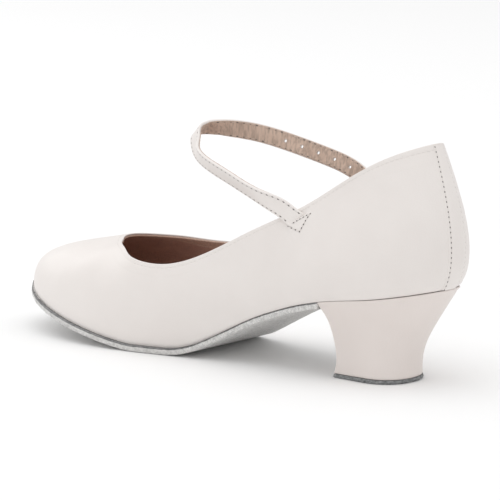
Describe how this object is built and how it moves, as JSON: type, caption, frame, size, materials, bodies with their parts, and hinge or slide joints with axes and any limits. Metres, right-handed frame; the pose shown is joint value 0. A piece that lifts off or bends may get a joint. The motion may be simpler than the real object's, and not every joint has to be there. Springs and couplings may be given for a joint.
{
  "type": "character shoe",
  "caption": "Right character shoe: white leather round-toed pump, covered block heel, suede outsole, punched instep strap with a side buckle.",
  "frame": {"origin": "middle of the heel lift's bottom face, on the floor", "axes": "toe towards -X, inner side of the foot towards -Y, up +Z"},
  "size_m": [0.2426, 0.0722, 0.1028],
  "materials": {
    "leather": "soft satin",
    "lining": "matt lining leather",
    "suede": "brushed suede nap",
    "lift_rubber": "matt",
    "buckle_metal": "polished plating"
  },
  "bodies": {
    "root": {"upper": "leather", "back_strip": "leather", "insole": "lining", "outsole": "suede", "heel": "leather", "heel_lift": "lift_rubber", "strap": "leather", "buckle_frame": "buckle_metal", "buckle_tab": "leather", "buckle_prong": "buckle_metal"}
  },
  "joints": []
}
